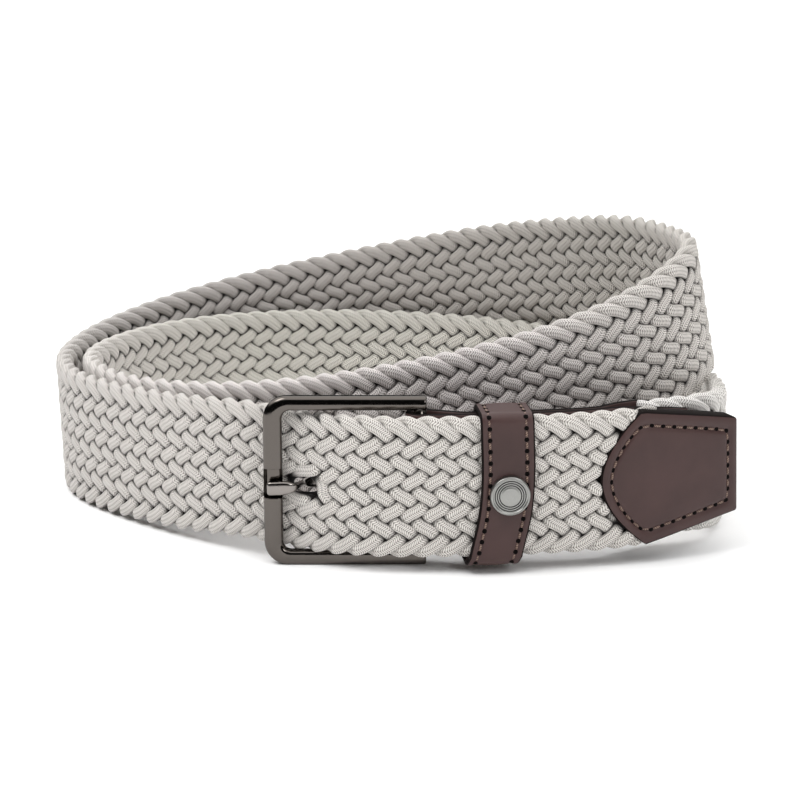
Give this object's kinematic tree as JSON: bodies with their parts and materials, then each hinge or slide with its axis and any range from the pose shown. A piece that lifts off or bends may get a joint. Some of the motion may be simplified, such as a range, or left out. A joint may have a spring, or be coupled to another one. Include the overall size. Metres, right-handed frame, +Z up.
{
  "type": "elastic belt",
  "caption": "Fastened elastic braided belt standing coiled on its edge, with a metal frame buckle and prong, a leather keeper with a round stud, and a leather tip",
  "frame": {"origin": "On the surface that the belt stands on, under the middle of its box", "axes": "+X along the belt's front from buckle to tip, +Y from the front to the back of the coil, +Z up"},
  "size_m": [0.1764, 0.147, 0.0702],
  "materials": {
    "braided_strap": "matte braided cord, light stone grey",
    "buckle_frame": "polished gunmetal",
    "prong": "polished gunmetal",
    "buckle_tab": "smooth dark brown with painted edges",
    "keeper": "smooth dark brown, stitched",
    "keeper_stud": "satin silver",
    "tip_leather": "smooth dark brown, stitched, painted edges"
  },
  "bodies": {
    "root": {"braided_strap": "braided_strap", "buckle_frame": "buckle_frame", "prong": "prong", "buckle_tab": "buckle_tab", "keeper": "keeper", "keeper_stud": "keeper_stud", "tip_leather": "tip_leather"}
  },
  "joints": []
}
